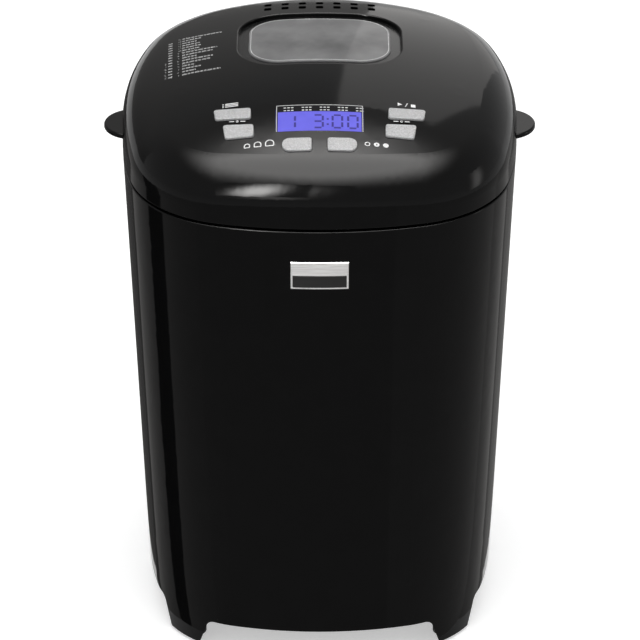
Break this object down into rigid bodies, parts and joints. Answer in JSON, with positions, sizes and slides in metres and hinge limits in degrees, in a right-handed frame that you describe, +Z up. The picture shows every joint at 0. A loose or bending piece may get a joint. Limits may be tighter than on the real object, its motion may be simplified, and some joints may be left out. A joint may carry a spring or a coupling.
{
  "type": "bread machine",
  "caption": "Tall bread machine with a tapered body on corner legs, a domed hinged lid with window, display and buttons, and a twist-lock bread pan with kneading paddle.",
  "frame": {"origin": "on the floor under the middle of the machine's bounding box", "axes": "+Z up, -Y towards the front with the controls, +X to the right seen from the front"},
  "size_m": [0.254, 0.2415, 0.3562],
  "materials": {
    "body_black": "glossy",
    "lid_black": "glossy",
    "black_matte": "satin",
    "rubber": "matte",
    "glass": "polished",
    "lens": "polished",
    "lcd": "glossy",
    "board": "satin",
    "iron": "satin",
    "relay_blue": "satin",
    "chamber_steel": "satin",
    "steel": "brushed",
    "element_steel": "satin",
    "cast_alloy": "satin",
    "brass": "satin",
    "pulley_plastic": "satin",
    "nonstick": "satin",
    "button_silver": "satin"
  },
  "bodies": {
    "machine": {"body_shell": "body_black", "cord_gland": "black_matte", "base_plate": "black_matte", "rubber_feet": "rubber", "base_screws": "steel", "chassis_plate": "steel", "chassis_posts": "steel", "oven_chamber": "chamber_steel", "top_deck": "black_matte", "heating_element": "element_steel", "heater_clips": "steel", "temperature_sensor": "steel", "thermal_fuse": "steel", "pan_socket": "cast_alloy", "shaft_bearing": "brass", "motor_body": "iron", "motor_bracket": "steel", "motor_screws": "steel", "drive_belt": "rubber", "power_board": "board", "transformer": "iron", "relay": "relay_blue", "capacitor": "black_matte", "hinge_pins": "steel"},
    "lid": {"lid_shell": "lid_black", "lid_liner": "black_matte", "lid_screws": "steel", "window_frame": "lid_black", "window_pane": "glass", "window_inner_pane": "glass", "display_lens": "lens", "lcd_module": "lcd", "control_board": "board", "push_switches": "black_matte"},
    "pan": {"bread_pan": "nonstick", "pan_base_ring": "cast_alloy", "pan_bush": "brass"},
    "handle": {"pan_handle": "steel"},
    "paddle": {"kneading_paddle": "nonstick", "pan_shaft": "steel", "upper_coupling": "cast_alloy"},
    "drive": {"drive_shaft": "steel", "lower_coupling": "cast_alloy", "driven_pulley": "pulley_plastic"},
    "rotor": {"motor_shaft": "steel", "motor_pulley": "pulley_plastic", "motor_fan": "pulley_plastic"},
    "menu_button": {"menu_button": "button_silver"},
    "time_button": {"time_button": "button_silver"},
    "start_stop_button": {"start_stop_button": "button_silver"},
    "cycle_button": {"cycle_button": "button_silver"},
    "loaf_size_button": {"loaf_size_button": "button_silver"},
    "crust_color_button": {"crust_color_button": "button_silver"}
  },
  "joints": [
    {"name": "lid_hinge", "type": "hinge", "parent": "machine", "child": "lid", "pos_m": [0, 0.11625, 0.3012], "axis": [-1, 0, 0], "range_deg": [0, 95]},
    {"name": "pan_twist", "type": "hinge", "parent": "machine", "child": "pan", "pos_m": [0, -0.00475, 0.1], "axis": [0, 0, 1], "range_deg": [0, 24]},
    {"name": "handle_swing", "type": "hinge", "parent": "pan", "child": "handle", "pos_m": [0, -0.00475, 0.2564], "axis": [-1, 0, 0], "range_deg": [0, 180]},
    {"name": "drive_spin", "type": "hinge", "parent": "machine", "child": "drive", "pos_m": [0, -0.00475, 0.07], "axis": [0, 0, 1], "continuous": true},
    {"name": "paddle_spin", "type": "hinge", "parent": "pan", "child": "paddle", "pos_m": [0, -0.00475, 0.11], "axis": [0, 0, 1], "continuous": true},
    {"name": "rotor_spin", "type": "hinge", "parent": "machine", "child": "rotor", "pos_m": [0.056, 0.04725, 0.06], "axis": [0, 0, 1], "continuous": true},
    {"name": "menu_press", "type": "slide", "parent": "lid", "child": "menu_button", "axis": [0.1457, 0.2051, -0.9678], "range_m": [0, 0.0012], "stiffness_N_per_m": 400, "springref_m": -0.0005},
    {"name": "time_press", "type": "slide", "parent": "lid", "child": "time_button", "axis": [0.1347, 0.2501, -0.9588], "range_m": [0, 0.0012], "stiffness_N_per_m": 400, "springref_m": -0.0005},
    {"name": "start_stop_press", "type": "slide", "parent": "lid", "child": "start_stop_button", "axis": [-0.1457, 0.2051, -0.9678], "range_m": [0, 0.0012], "stiffness_N_per_m": 400, "springref_m": -0.0005},
    {"name": "cycle_press", "type": "slide", "parent": "lid", "child": "cycle_button", "axis": [-0.1347, 0.2501, -0.9588], "range_m": [0, 0.0012], "stiffness_N_per_m": 400, "springref_m": -0.0005},
    {"name": "loaf_size_press", "type": "slide", "parent": "lid", "child": "loaf_size_button", "axis": [0.0376, 0.2913, -0.9559], "range_m": [0, 0.0012], "stiffness_N_per_m": 400, "springref_m": -0.0005},
    {"name": "crust_color_press", "type": "slide", "parent": "lid", "child": "crust_color_button", "axis": [-0.0376, 0.2913, -0.9559], "range_m": [0, 0.0012], "stiffness_N_per_m": 400, "springref_m": -0.0005}
  ],
  "couplings": [
    {"joint": "paddle_spin", "follows": "drive_spin", "ratio": 1},
    {"joint": "rotor_spin", "follows": "drive_spin", "ratio": 4}
  ]
}
